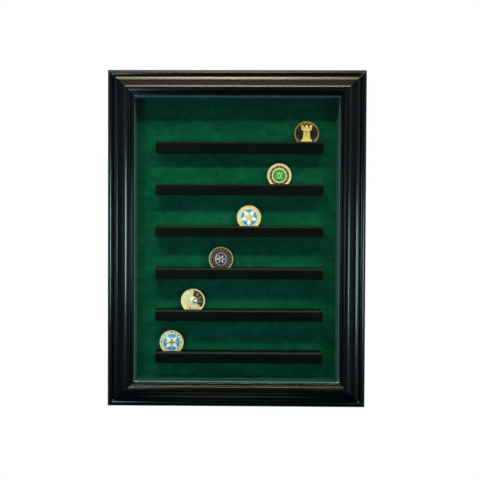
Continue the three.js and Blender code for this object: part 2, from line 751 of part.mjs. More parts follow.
// What stands in relief on each coin, from the top ledge down.
const coinReliefs = [
  () => [raised(outlineOf([...towerShares, ...towerShares.map(([x, z]) => [-x, z]).reverse()]))],
  () => [
    raised(ringOutline(0.5, 0.57)),
    raised(outlineOf([[0, -0.24], [0.14, 0], [0, 0.24], [-0.14, 0]])),
    ...beadRing(12, 0.73, 0.07),
  ],
  () => [
    raised(ringOutline(0.66, 0.72)),
    raised(rippleOutline(5, 0.3, 0.14, 8)),
  ],
  () => [
    raised(ringOutline(0.44, 0.54, 0.86)),
    raised(discOutline(0, 0, 0.17)),
    ...beadRing(20, 0.76, 0.05),
  ],
  () => [
    raised(crescentOutline()),
    raised(discOutline(0.2, 0.05, 0.12)),
    raised(outlineOf([[-0.34, -0.5], [0.1, -0.5], [0.1, -0.38], [-0.34, -0.38]])),
  ],
  () => [
    raised(ringOutline(0.66, 0.71)),
    raised(rippleOutline(4, 0.26, 0.16, 8)),
    ...beadRing(16, 0.79, 0.05),
  ],
];
const coinFinishes = ["gold", "gold", "gold", "bronze", "gold", "gold"];

// One coin stands on edge in each ledge's groove.
function addCoins() {
  const travel = ledgeRight - ledgeLeft - 2 * (coinRadius + coinEndRoom);
  ledgeHeights().forEach((bottom, index) => {
    const design = index % coinReliefs.length;
    const x = ledgeLeft + coinRadius + coinEndRoom + coinPlaceShares[design] * travel;
    const z = bottom + ledgeHeight - grooveDepth + coinRest + coinRadius;
    const coin = join(coinBlank(), ...coinReliefs[design]());
    addPiece(`coin_${index + 1}`, coin, coinFinishes[design], new THREE.Vector3(x, -coinDepth, z));
  });
}

addBackFrame();
addBackPanel();
addHangers();
addDisplayBoard();
addLedges();
addHinges();
addCatches();
addDoorFrame();
addCornerNails();
addGlazing();
addCoins();

export default coinCase;
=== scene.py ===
import math

import bmesh
import bpy
from mathutils import Matrix, Vector, noise


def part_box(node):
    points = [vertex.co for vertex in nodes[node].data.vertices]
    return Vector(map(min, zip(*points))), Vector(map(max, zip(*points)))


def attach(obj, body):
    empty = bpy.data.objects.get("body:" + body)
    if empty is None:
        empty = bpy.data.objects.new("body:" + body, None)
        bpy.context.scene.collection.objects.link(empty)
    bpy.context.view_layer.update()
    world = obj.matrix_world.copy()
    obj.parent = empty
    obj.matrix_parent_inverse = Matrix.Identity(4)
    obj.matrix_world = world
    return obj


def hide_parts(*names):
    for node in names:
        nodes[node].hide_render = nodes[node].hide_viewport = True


# Looks of the wall-hung coin display case. Lengths in metres, in the frame of the packed
# model: the front faces -Y, +X is right and +Z is up. The wall is the plane y = 0.

MM = 0.001
WHITE = (1, 1, 1, 1)

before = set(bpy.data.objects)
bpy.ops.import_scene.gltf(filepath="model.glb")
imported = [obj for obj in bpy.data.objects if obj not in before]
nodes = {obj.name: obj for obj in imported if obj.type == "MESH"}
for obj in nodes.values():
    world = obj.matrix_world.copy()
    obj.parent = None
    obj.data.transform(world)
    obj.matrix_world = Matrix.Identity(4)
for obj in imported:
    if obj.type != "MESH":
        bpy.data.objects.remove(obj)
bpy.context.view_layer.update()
scene = bpy.context.scene


# Materials
def srgb(colour):
    """A colour given as on a screen, 0 to 255, as linear values."""
    out = []
    for v in colour:
        c = v / 255
        out.append(c / 12.92 if c <= 0.04045 else ((c + 0.055) / 1.055) ** 2.4)
    return (*out, 1.0)


class Nodes:
    """A short way to write the node tree of a material, or of the world."""

    def __init__(self, name, world=False):
        self.owner = (bpy.data.worlds if world else bpy.data.materials).new(name)
        self.owner.use_nodes = True
        self.tree = self.owner.node_tree
        self.tree.nodes.clear()
        self.output = self.add("ShaderNodeOutputWorld" if world else "ShaderNodeOutputMaterial")

    def add(self, kind, inputs=None, **settings):
        """A node with its settings, and a plain value or a link for each input named."""
        node = self.tree.nodes.new(kind)
        for key, value in settings.items():
            setattr(node, key, value)
        for key, value in (inputs or {}).items():
            if hasattr(value, "is_linked"):
                self.tree.links.new(value, node.inputs[key])
            else:
                node.inputs[key].default_value = value
        return node

    def coordinates(self, scale=(1, 1, 1)):
        place = self.add("ShaderNodeTexCoord").outputs["Object"]
        return self.add("ShaderNodeMapping", {"Scale": scale, "Vector": place}).outputs["Vector"]

    def noise(self, scale, detail, roughness, stretch=(1, 1, 1), distortion=0.0):
        values = {
            "Scale": scale, "Detail": detail, "Roughness": roughness, "Distortion": distortion,
            "Vector": self.coordinates(stretch)}
        return self.add("ShaderNodeTexNoise", values).outputs["Fac"]

    def ramp(self, source, *stops):
        node = self.add("ShaderNodeValToRGB", {"Fac": source})
        points = node.color_ramp.elements
        while len(points) < len(stops):
            points.new(0.5)
        for point, (place, colour) in zip(points, stops):
            point.position = place
            point.color = colour if hasattr(colour, "__len__") else (colour, colour, colour, 1)
        return node.outputs["Color"]

    def math(self, operation, *values):
        return self.add("ShaderNodeMath", dict(enumerate(values)), operation=operation).outputs[0]

    def mix(self, factor, a, b, blend="MIX"):
        values = {0: factor, 6: a, 7: b}
        return self.add("ShaderNodeMix", values, data_type="RGBA", blend_type=blend).outputs[2]

    def rise(self, source, low, high):
        """Nought at one value, one at another, and smooth between them."""
        values = {"Value": source, "From Min": low, "From Max": high}
        node = self.add("ShaderNodeMapRange", values, interpolation_type="SMOOTHSTEP")
        return node.outputs["Result"]

    def bump(self, height, strength, distance, base=None):
        values = {"Strength": strength, "Distance": distance, "Height": height}
        if base is not None:
            values["Normal"] = base
        return self.add("ShaderNodeBump", values).outputs["Normal"]

    def blend(self, share, a, b):
        """One shader, with a share of another."""
        return self.add("ShaderNodeMixShader", {0: share, 1: a.outputs[0], 2: b.outputs[0]})

    def finish(self, shader):
        self.tree.links.new(shader.outputs[0], self.output.inputs["Surface"])
        return self.owner

    def surface(self, colour, roughness, normal, **values):
        inputs = {"Base Color": colour, "Roughness": roughness, "Normal": normal}
        for name, value in values.items():
            inputs[name.replace("_", " ")] = value
        return self.finish(self.add("ShaderNodeBsdfPrincipled", inputs))


def make_lacquer(name, dark, light, rough_low, rough_high):
    """Black satin lacquer on wood: a trace of grain under the film, orange peel and soft smears."""
    n = Nodes(name)
    cloud = n.noise(22, 4, 0.6)
    colour = n.ramp(cloud, (0.3, srgb(dark)), (0.7, srgb(light)))
    smear = n.noise(28, 4, 0.6, distortion=0.4)
    rough = n.ramp(smear, (0.35, rough_low), (0.68, rough_high))
    grain = n.noise(260, 3, 0.55)
    peel = n.noise(900, 2, 0.5)
    normal = n.bump(grain, 0.002, 0.0003)
    normal = n.bump(peel, 0.003, 0.00012, normal)
    return n.surface(colour, rough, normal, Specular_IOR_Level=0.5)


CASE_MIDDLE_Z = -0.23725
CORNER_X = 0.1515
CORNER_Z = 0.2125
# Depth in front of which a strip gets its painted shadow, close behind the glass.
PAINTED_SHADOW_Y = -0.0446


def make_suede(name, shades, sheen, fold=None, depths=(-0.0440, -0.0460), painted_shadow_edge=False):
    """Brushed suede: blotches where the nap lies one way or the other, streaks and fine fibres.

    The fold is a painted highlight along a wrapped strip's front edge, with a paler painted glint
    in the corners, and it comes up between two depths. A strip can also have a painted shadow
    close behind the glass, as the shade of the moulding's lip.
    """
    n = Nodes(name)
    blotch = n.noise(70, 5, 0.62, stretch=(1, 1, 1.25), distortion=0.6)
    streak = n.noise(26, 4, 0.6, stretch=(0.45, 1, 1.6), distortion=0.3)
    fibre = n.noise(2600, 3, 0.7, stretch=(1, 1, 0.6))
    nap = n.mix(0.5, blotch, streak)
    base = n.ramp(nap, *zip((0.34, 0.50, 0.66), map(srgb, shades)))
    fleck = n.ramp(fibre, (0.30, 0.78), (0.70, 1.22))
    colour = n.mix(1.0, base, fleck, "MULTIPLY")
    if fold:
        across, depth, up = n.add("ShaderNodeSeparateXYZ", {0: n.coordinates()}).outputs
        # Painted highlight: a paler colour along the strip's front edge, standing in for its sheen.
        highlight_share = n.math("MULTIPLY", n.rise(depth, *depths), 0.85)
        # Painted glint: the corners of the strips are painted paler still.
        side = n.math("GREATER_THAN", n.math("ABSOLUTE", across), CORNER_X)
        level = n.math("ABSOLUTE", n.math("ADD", up, -CASE_MIDDLE_Z))
        corner = n.math("MULTIPLY", side, n.math("GREATER_THAN", level, CORNER_Z))
        colour = n.mix(highlight_share, colour, n.mix(corner, srgb(fold), srgb((188, 214, 208))))
        # Painted shadow: the strip's front, close behind the glass, is painted darker as the shade
        # of the lip.
        if painted_shadow_edge:
            edge = n.math("LESS_THAN", depth, PAINTED_SHADOW_Y)
            colour = n.mix(n.math("MULTIPLY", edge, 0.8), colour, srgb((2, 14, 13)))
    normal = n.bump(blotch, 0.22, 0.0012)
    normal = n.bump(fibre, 0.5, 0.00035, normal)
    return n.surface(
        colour, 0.92, normal, Sheen_Weight=sheen, Sheen_Roughness=0.42,
        Sheen_Tint=(0.3, 0.86, 0.9, 1), Specular_IOR_Level=0.03)


def make_painted_wood(name, dark, light, roughness, gloss):
    """Matt black paint brushed thinly over straight-grained wood."""
    n = Nodes(name)
    pores = n.noise(420, 5, 0.6, stretch=(0.09, 1, 1.0))
    cloud = n.noise(30, 4, 0.6)
    both = n.mix(0.5, pores, cloud)
    colour = n.ramp(both, (0.32, srgb(dark)), (0.70, srgb(light)))
    rough = n.ramp(cloud, (0.3, roughness - 0.08), (0.7, roughness + 0.08))
    normal = n.bump(pores, 0.28, 0.0005)
    return n.surface(colour, rough, normal, Specular_IOR_Level=gloss)


def make_hardboard(name):
    """Pressed fibres of bare hardboard, with darker flecks."""
    n = Nodes(name)
    fibres = n.noise(900, 5, 0.7, stretch=(1, 1, 0.5), distortion=0.8)
    cloud = n.noise(16, 4, 0.6)
    base = n.ramp(cloud, (0.3, srgb((96, 66, 40))), (0.7, srgb((122, 88, 56))))
    fleck = n.ramp(fibres, (0.28, 0.62), (0.52, 1.0), (0.75, 1.2))
    colour = n.mix(1.0, base, fleck, "MULTIPLY")
    normal = n.bump(fibres, 0.35, 0.0004)
    return n.surface(colour, 0.78, normal, Specular_IOR_Level=0.3)


def make_metal(name, dark, light, rough_low, rough_high, brushed=1, bump=0.1, metallic=1.0):
    """Plated metal with fine scratches and handling marks."""
    n = Nodes(name)
    cloud = n.noise(160, 4, 0.6)
    colour = n.ramp(cloud, (0.3, srgb(dark)), (0.7, srgb(light)))
    scratch = n.noise(2200, 4, 0.65, stretch=(1, 1, brushed))
    rough = n.ramp(scratch, (0.3, rough_low), (0.72, rough_high))
    normal = n.bump(scratch, bump, 0.00012)
    return n.surface(colour, rough, normal, Metallic=metallic)


def make_enamel(name, dark, light, roughness=0.28):
    """Hard enamel fill, with slight unevenness in its colour and surface."""
    n = Nodes(name)
    cloud = n.noise(420, 3, 0.6)
    colour = n.ramp(cloud, (0.3, srgb(dark)), (0.7, srgb(light)))
    normal = n.bump(cloud, 0.12, 0.0003)
    return n.surface(colour, roughness, normal, Coat_Weight=0.3, Coat_Roughness=0.2)


def make_glass(name):
    """Clear float glass that lets light straight through and mirrors more at glancing angles."""
    n = Nodes(name)
    facing = n.add("ShaderNodeLayerWeight", {"Blend": 0.5})
    power = n.math("POWER", facing.outputs["Facing"], 5.0)
    share = n.math("MULTIPLY_ADD", power, 0.96, 0.03)
    clear = n.add("ShaderNodeBsdfTransparent", {"Color": (0.965, 0.985, 0.975, 1)})
    mirror = n.add("ShaderNodeBsdfGlossy", {"Roughness": 0.02, "Color": WHITE})
    return n.finish(n.blend(share, clear, mirror))


LACQUER = make_lacquer("lacquer", (3, 5, 6), (7, 9, 10), 0.2, 0.215)
LEDGE_BLACK = make_painted_wood("ledge_paint", (2, 4, 4), (5, 8, 8), 0.42, 0.04)
# Painted highlight: paler paint for the ledges' chamfered front edges.
LEDGE_EDGE_HIGHLIGHT = make_painted_wood("ledge_edge", (16, 26, 20), (26, 38, 29), 0.5, 0.10)
BLACK_WOOD = make_painted_wood("black_wood", (18, 19, 20), (30, 31, 32), 0.62, 0.35)
SUEDE = make_suede("suede", ((0, 55, 38), (1, 71, 50), (4, 88, 61)), 0.03)
WRAP_SHADES = ((5, 46, 44), (9, 56, 54), (13, 66, 62))
# Painted light: the side strips take a lighter, bluer copy of the wrap's colours.
SIDE_SHADES_PAINTED_LIGHT = ((7, 55, 59), (12, 66, 71), (16, 78, 82))
# Painted highlight colour for the strips' front edges; the top strip's own is paler.
FOLD_HIGHLIGHT = (108, 146, 142)
SUEDE_WRAP = make_suede("suede_wrap", WRAP_SHADES, 0.12, FOLD_HIGHLIGHT)
# The side strips also get a painted shadow close behind the glass.
SUEDE_SIDES = make_suede("suede_sides", SIDE_SHADES_PAINTED_LIGHT, 0.12, FOLD_HIGHLIGHT, (-0.0370, -0.0415), True)
SUEDE_TOP = make_suede("suede_top", WRAP_SHADES, 0.12, (137, 165, 143), (-0.0330, -0.0385))
HARDBOARD = make_hardboard("hardboard")
ZINC = make_metal("zinc", (150, 152, 156), (196, 198, 202), 0.28, 0.48, 0.2)
BLACK_STEEL = make_metal("black_steel", (40, 40, 42), (62, 62, 64), 0.38, 0.55, 0.2)
NICKEL = make_metal("nickel", (170, 172, 175), (206, 207, 208), 0.18, 0.30)
GLASS = make_glass("glass")
GOLD = make_metal("gold", (250, 204, 92), (255, 226, 128), 0.34, 0.5, 1, 0.2, 0.7)
PALE_GOLD = make_metal("pale_gold", (246, 220, 158), (255, 238, 188), 0.34, 0.48, 1, 0.2, 0.5)
OLD_GOLD = make_metal("old_gold", (168, 130, 68), (198, 160, 92), 0.36, 0.52, 1, 0.2, 0.8)
BRONZE = make_metal("bronze", (96, 70, 44), (138, 104, 64), 0.38, 0.55, 1, 0.25)
PALE_BRONZE = make_metal("pale_bronze", (214, 186, 134), (238, 214, 168), 0.34, 0.5, 1, 0.2, 0.7)
SILVER = make_metal("silver", (176, 180, 182), (216, 218, 218), 0.28, 0.45, 1, 0.2)
ENAMEL = {name: make_enamel("enamel_" + name, *values) for name, *values in (
    ("black", (10, 11, 12), (20, 21, 22)),
    ("umber", (34, 22, 16), (52, 34, 24), 0.4),
    ("green", (0, 150, 50), (14, 184, 74)),
    ("deep_green", (0, 92, 34), (6, 116, 48)),
    ("red", (176, 26, 24), (214, 44, 38)),
    ("rose", (226, 150, 150), (246, 196, 192)),
    ("brick", (120, 44, 28), (150, 62, 40)),
    ("white", (232, 232, 226), (250, 250, 246)),
    ("navy", (14, 20, 74), (26, 36, 104)),
    ("sky", (24, 122, 200), (70, 158, 224)),
    ("teal", (84, 176, 184), (142, 212, 212)),
)}


# Mesh helpers
POINT_FORWARD = Matrix.Rotation(math.pi / 2, 4, "X")
POINT_BACK = Matrix.Rotation(-math.pi / 2, 4, "X")
POINT_RIGHT = Matrix.Rotation(math.pi / 2, 4, "Y")


def at(x, y, z, turn):
    """The way from the origin to a place, after a turn."""
    return Matrix.Translation((x, y, z)) @ turn


def mm(*points):
    """Points given in millimetres, as metres."""
    return [tuple(v * MM for v in point) for point in points]


def turns(count):
    """Angles in radians, evenly round a circle."""
    return [2 * math.pi * i / count for i in range(count)]


def paint(faces, index):
    for face in faces:
        face.material_index = index


def shade(mesh, sharp=30):
    """Shades a mesh smooth apart from its sharp edges."""
    mesh.shade_smooth()
    mesh.set_sharp_from_angle(angle=math.radians(sharp))


def as_object(name, bm, materials=(), sharp=30):
    """A closed mesh as an object in the scene."""
    bmesh.ops.remove_doubles(bm, verts=bm.verts, dist=1e-7)
    bmesh.ops.recalc_face_normals(bm, faces=bm.faces)
    mesh = bpy.data.meshes.new(name)
    bm.to_mesh(mesh)
    bm.free()
    for material in materials:
        mesh.materials.append(material)
    shade(mesh, sharp)
    obj = bpy.data.objects.new(name, mesh)
    scene.collection.objects.link(obj)
    return obj


def place(obj, body, slot, *replaced):
    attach(obj, body)
    if replaced:
        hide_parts(*replaced)
    return obj


def arc(centre, radius_u, radius_h, start, end, steps):
    """Points on an arc of an ellipse in a section, angles in degrees."""
    points = []
    for i in range(steps + 1):
        a = math.radians(start + (end - start) * i / steps)
        points.append((centre[0] + radius_u * math.cos(a), centre[1] + radius_h * math.sin(a)))
    return points


def bend(points, radius, start, end, steps):
    """Carries a section on from its last point round an arc, angles in degrees."""
    u, h = points[-1]
    a = math.radians(start)
    centre = (u - radius * math.cos(a), h - radius * math.sin(a))
    points += arc(centre, radius, radius, start, end, steps)[1:]


def rounded(points, radius, steps, limit=25):
    """A closed outline with its sharp corners rounded."""
    out = []
    count = len(points)
    for i in range(count):
        before, here, after = (Vector(points[(i + k) % count]) for k in (-1, 0, 1))
        a, b = before - here, after - here
        if a.length < 1e-9 or b.length < 1e-9:
            continue
        turn = 180 - math.degrees(a.angle(b))
        if turn < limit:
            out.append(tuple(here))
            continue
        cut = min(radius * math.tan(math.radians(turn) / 2), 0.45 * a.length, 0.45 * b.length)
        start, end = here + a.normalized() * cut, here + b.normalized() * cut
        for k in range(steps + 1):
            t = k / steps
            p = start * (1 - t) ** 2 + here * 2 * t * (1 - t) + end * t ** 2
            out.append(tuple(p))
    return out


def add_tube(bm, rings):
    """A closed body through rings of equally many points, capped at both ends."""
    made = [[bm.verts.new(p) for p in ring] for ring in rings]
    count = len(rings[0])
    for near, far in zip(made, made[1:]):
        for i in range(count):
            j = (i + 1) % count
            bm.faces.new((near[i], near[j], far[j], far[i]))
    bm.faces.new(list(reversed(made[0])))
    bm.faces.new(made[-1])


def add_round_box(bm, low, high, radius, steps=2):
    """A box with rounded edges between two corners."""
    box = bmesh.new()
    bmesh.ops.create_cube(box, size=1)
    size = Vector(high) - Vector(low)
    middle = (Vector(high) + Vector(low)) / 2
    for v in box.verts:
        v.co = Vector((v.co.x * size.x, v.co.y * size.y, v.co.z * size.z)) + middle
    bmesh.ops.bevel(
        box, geom=box.edges[:], offset=radius, segments=steps, profile=0.5, affect="EDGES")
    append(bm, box)


def append(bm, other):
    """Adds one mesh in the making to another, and frees it."""
    verts = {v: bm.verts.new(v.co) for v in other.verts}
    for face in other.faces:
        try:
            made = bm.faces.new([verts[v] for v in face.verts])
        except ValueError:
            continue
        made.material_index = face.material_index
    other.free()


def turned(profile, steps, matrix=Matrix.Identity(4)):
    """A turned body: profile points (radius, along), the first and last on the axis."""
    bm = bmesh.new()
    rings = []
    for radius, along in profile:
        if radius < 1e-9:
            rings.append([bm.verts.new((0, 0, along))])
            continue
        points = [(radius * math.cos(a), radius * math.sin(a), along) for a in turns(steps)]
        rings.append([bm.verts.new(point) for point in points])
    for near, far in zip(rings, rings[1:]):
        for i in range(steps):
            j = (i + 1) % steps
            if len(near) == 1:
                bm.faces.new((near[0], far[j], far[i]))
            elif len(far) == 1:
                bm.faces.new((near[i], near[j], far[0]))
            else:
                bm.faces.new((near[i], near[j], far[j], far[i]))
    bm.transform(matrix)
    return bm


def subtract(obj, cutters):
    """Cuts other bodies out of an object, and removes them."""
    for cutter in cutters:
        modifier = obj.modifiers.new("cut", "BOOLEAN")
        modifier.operation = "DIFFERENCE"
        modifier.solver = "EXACT"
        modifier.object = cutter
    graph = bpy.context.evaluated_depsgraph_get()
    mesh = bpy.data.meshes.new_from_object(obj.evaluated_get(graph))
    obj.modifiers.clear()
    obj.data = mesh
    shade(mesh)
    for cutter in cutters:
        bpy.data.objects.remove(cutter)


def box_cutter(low, high):
    bm = bmesh.new()
    add_round_box(bm, low, high, 0.2 * MM, steps=1)
    return as_object("cutter", bm)


# Door moulding
def moulding_section():
    """The moulding's section in millimetres: u inward from the outer edge, h forward."""
    points = [(0, 0)]
    points += arc((5.2, 3.8), 5.2, 4.3, 180, 40, 18)
    points += [(9.8, 5.2), (10.4, 5.2)]
    points += arc((13.2, 8), 2.8, 6.0, 180, 108, 12)
    bend(points, 24, 108, 97, 10)
    foot, turn, lip = Vector((17.1, 14.75)), Vector((24.2, 22.4)), Vector((29.2, 34.8))
    for k in range(15):
        t = k / 14
        points.append(tuple(foot * (1 - t) ** 2 + turn * 2 * t * (1 - t) + lip * t ** 2))
    bend(points, 3.2, 152, 116, 10)
    bend(points, 7, 116, 96, 10)
    bend(points, 14.2, 96, 72, 12)
    bend(points, 1, 72, 5, 8)
    points += [(39.7, 30.4), (41.3, 30.4), (41.5, 31.0), (43.3, 30.8), (44, 28.9)]
    points += [(44, 26.5), (38, 26.5), (38, 0)]
    return rounded(points, 0.3, 3, 35)


LEVELS = ("upper", "lower")
MEMBERS = ("door_top_rail", "door_bottom_rail", "door_hinge_stile", "door_latch_stile")
door_low = Vector(map(min, *[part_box(n)[0] for n in MEMBERS]))
door_high = Vector(map(max, *[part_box(n)[1] for n in MEMBERS]))
door_middle = (door_low + door_high) / 2
DOOR_BACK = door_high.y
MITRE_GAP = 0.1 * MM


def make_moulding(name, inward, half_reach, half_length, node):
    """One mitred length of moulding. Inward points from its outer edge to the door's middle."""
    section = moulding_section()
    inward = Vector(inward)
    forward = Vector((0, -1, 0))
    along = inward.cross(forward)
    bm = bmesh.new()
    rings = []
    spans = 14
    for k in range(spans + 1):
        ring = []
        for u, h in section:
            reach = half_length - u * MM - MITRE_GAP
            where = -reach + 2 * reach * k / spans
            point = Vector((door_middle.x, DOOR_BACK, door_middle.z))
            point += inward * (u * MM - half_reach) + forward * h * MM + along * where
            ring.append(point)
        rings.append(ring)
    add_tube(bm, rings)
    return place(as_object(name, bm, [LACQUER], 28), "door", "black_lacquer", node)


half_w = (door_high.x - door_low.x) / 2
half_h = (door_high.z - door_low.z) / 2
mouldings = {side: make_moulding("moulding_" + side, *values) for side, *values in (
    ("top", (0, 0, -1), half_h, half_w, "door_top_rail"),
    ("bottom", (0, 0, 1), half_h, half_w, "door_bottom_rail"),
    ("hinge_side", (1, 0, 0), half_w, half_h, "door_hinge_stile"),
    ("latch_side", (-1, 0, 0), half_w, half_h, "door_latch_stile"),
)}


def nail_cutters():
    """The slots of the corner nails, whose two legs run along both members."""
    made = []
    gap, leg = 0.12 * MM, 1.12 * MM
    for corner in ("upper_left", "upper_right", "lower_left", "lower_right"):
        low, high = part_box(f"mitre_nail_{corner}")
        left = low.x if corner.endswith("left") else high.x - 1 * MM
        base = high.z - 1 * MM if corner.startswith("upper") else low.z
        near, far = low.y - gap, high.y + gap
        made.append(box_cutter((low.x - gap, near, base - gap), (high.x + gap, far, base + leg)))
        made.append(box_cutter((left - gap, near, low.z - gap), (left + leg, far, high.z + gap)))
    return made


for moulding in mouldings.values():
    subtract(moulding, nail_cutters())

# Mortises for the hinge leaves and seats for the steel discs, cut into the door's back
cuts = []
for level in LEVELS:
    low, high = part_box(f"hinge_{level}_door_leaf")
    cuts.append(box_cutter(
        (low.x - 0.4 * MM, DOOR_BACK - 1.6 * MM, low.z - 0.2 * MM),
        (low.x + 23.7 * MM, DOOR_BACK + 5 * MM, high.z + 0.2 * MM)))
subtract(mouldings["hinge_side"], cuts)
cuts = []
for level in LEVELS:
    low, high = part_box(f"strike_disc_{level}")
    middle = (low + high) / 2
    seat = turned(
        mm((0, -1.15), (6.2, -1.15), (6.2, 5), (0, 5)), 48,
        at(middle.x, DOOR_BACK, middle.z, POINT_BACK))
    cuts.append(as_object("cutter", seat))
subtract(mouldings["latch_side"], cuts)


# Suede
def make_suede_back():
    """The suede on the board: a stretched sheet that rises and dips a little with its nap."""
    low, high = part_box("suede_backing")
    nx, nz = 130, 180
    soft_dip, fine_dip = 0.12 * MM, 0.05 * MM
    bm = bmesh.new()
    fronts, rears = [], []
    for k in range(nz + 1):
        for i in range(nx + 1):
            x = low.x + (high.x - low.x) * i / nx
            z = low.z + (high.z - low.z) * k / nz
            soft = noise.fractal(Vector((x * 55, 0.3, z * 60)), 0.8, 2.1, 4)
            fine = noise.noise(Vector((x * 420, 5.1, z * 420)))
            dip = soft_dip * (1 + max(-1, min(1, soft))) + fine_dip * (1 + fine)
            fronts.append(bm.verts.new((x, low.y + dip, z)))
            rears.append(bm.verts.new((x, high.y, z)))
    row = nx + 1
    for k in range(nz):
        for i in range(nx):
            a, b, c, d = k * row + i, k * row + i + 1, (k + 1) * row + i + 1, (k + 1) * row + i
            bm.faces.new((fronts[a], fronts[b], fronts[c], fronts[d]))
            bm.faces.new((rears[d], rears[c], rears[b], rears[a]))
    edge = list(range(row))
    edge += [k * row + nx for k in range(1, nz + 1)]
    edge += [nz * row + i for i in range(nx - 1, -1, -1)]
    edge += [k * row for k in range(nz - 1, 0, -1)]
    for a, b in zip(edge, edge[1:] + edge[:1]):
        bm.faces.new((fronts[b], fronts[a], rears[a], rears[b]))
    sheet = as_object("suede_sheet", bm, [SUEDE], 60)
    place(sheet, "cabinet", "green_suede", "suede_backing")


make_suede_back()


def make_wrapped_strip(node, body, radius, material):
    """A strip wrapped in suede: rounded edges and a slightly uneven face."""
    low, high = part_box(node)
    size = high - low
    longest = max(range(3), key=lambda axis: size[axis])
    across = [axis for axis in range(3) if axis != longest]
    outline = [
        (low[across[0]], low[across[1]]), (high[across[0]], low[across[1]]),
        (high[across[0]], high[across[1]]), (low[across[0]], high[across[1]])]
    section = rounded(outline, radius, 4)
    middle = [(low[axis] + high[axis]) / 2 for axis in across]
    spans = 90
    uneven = 0.08 * MM
    bm = bmesh.new()
    rings = []
    for k in range(spans + 1):
        where = low[longest] + size[longest] * k / spans
        ring = []
        for a, b in section:
            point = [0.0, 0.0, 0.0]
            point[longest] = where
            shrink = 1.0
            if k in (0, spans):
                shrink = 1 - radius * 0.6 / (min(size[across[0]], size[across[1]]) / 2)
            point[across[0]] = middle[0] + (a - middle[0]) * shrink
            point[across[1]] = middle[1] + (b - middle[1]) * shrink
            wave = noise.noise(Vector(point) * 90) * 0.5 + 0.5
            inward = Vector((middle[0] - a, middle[1] - b))
            if inward.length:
                inward = inward.normalized() * uneven * wave
            point[across[0]] += inward.x
            point[across[1]] += inward.y
            ring.append(point)
        rings.append(ring)
    add_tube(bm, rings)
    place(as_object(node + "_wrapped", bm, [material], 50), body, "green_suede", node)


for side, material in (
        ("top", SUEDE_TOP), ("bottom", SUEDE_WRAP), ("left", SUEDE_SIDES), ("right", SUEDE_SIDES)):
    make_wrapped_strip(f"liner_{side}", "cabinet", 0.5 * MM, material)
    make_wrapped_strip(f"glass_strip_{side}", "door", 0.6 * MM, material)


# Screws
HEAD_RADIUS = 2.6 * MM
SHANK_RADIUS = 1.4 * MM
SLOT_WIDTH = 0.6 * MM


def make_screw(rise=0.0, depth=1.5 * MM, length=10 * MM):
    """A screw along +Z with its head's face at the origin: domed if it rises, else flush."""
    radius = HEAD_RADIUS
    if rise:
        profile = [(0, -rise), (radius * 0.6, -rise), (radius * 0.92, -rise * 0.55), (radius, 0)]
    else:
        profile = [(0, 0), (radius * 0.96, 0), (radius, 0.12 * MM)]
    profile += [(SHANK_RADIUS, depth), (SHANK_RADIUS, length - 2 * MM), (0, length)]
    return turned(profile, 32)


def finish_screws(name, screws, matrices, material, body, slot, depth, cross=True):
    """Cuts the driver's slots into screws that lie along given matrices, as one object each."""
    made = []
    for index, (bm, matrix) in enumerate(zip(screws, matrices)):
        bm.transform(matrix)
        obj = as_object(f"{name}_{index + 1}" if len(screws) > 1 else name, bm, [material], 35)
        half = HEAD_RADIUS * (0.55 if cross else 1.2)
        low, high = (-half, -SLOT_WIDTH / 2, -4 * MM), (half, SLOT_WIDTH / 2, depth)
        cutters = []
        for turn in ((0.5, 0.5 + math.pi / 2) if cross else (0.5,)):
            blade = bmesh.new()
            add_round_box(blade, low, high, 0.02 * MM, steps=1)
            blade.transform(matrix @ Matrix.Rotation(turn + index * 0.7, 4, "Z"))
            cutters.append(as_object("cutter", blade))
        subtract(obj, cutters)
        made.append(place(obj, body, slot))
    return made


for i in range(1, 7):
    node = f"panel_screw_{i}"
    low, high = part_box(node)
    middle = (low + high) / 2
    matrix = at(middle.x, high.y - 1.6 * MM, middle.z, POINT_FORWARD)
    screw = make_screw(1.5 * MM, 0.1 * MM, 8.2 * MM)
    made = finish_screws(
        f"panel_screw_head_{i}", [screw], [matrix], ZINC, "cabinet", "bright_steel", -0.7 * MM)
    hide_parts(node)

STRIKE = mm((0, 0), (5.6, 0), (6, 0.3), (6, 1.2), (5.9, 1.3), (0, 1.3))
MAGNET = mm((0, 0), (4.6, 0), (5, 0.35), (5, 3.8), (4.8, 4), (0, 4))
for level in LEVELS:
    low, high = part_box(f"strike_disc_{level}")
    middle = (low + high) / 2
    bm = turned(STRIKE, 64, at(middle.x, high.y, middle.z, POINT_FORWARD))
    disc = as_object(f"strike_plate_{level}", bm, [NICKEL])
    place(disc, "door", "bright_steel", f"strike_disc_{level}")
    matrix = at(middle.x, high.y + 0.02 * MM, middle.z, POINT_FORWARD)
    finish_screws(
        f"strike_screw_{level}", [make_screw()], [matrix], ZINC, "door", "bright_steel",
        0.6 * MM, cross=False)
    low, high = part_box(f"magnet_{level}")
    middle = (low + high) / 2
    bm = turned(MAGNET, 64, at(middle.x, low.y, middle.z, POINT_BACK))
    disc = as_object(f"magnet_disc_{level}", bm, [NICKEL])
    place(disc, "cabinet", "bright_steel", f"magnet_{level}")


# Ledges
BOARD_SEAT = -8.1 * MM


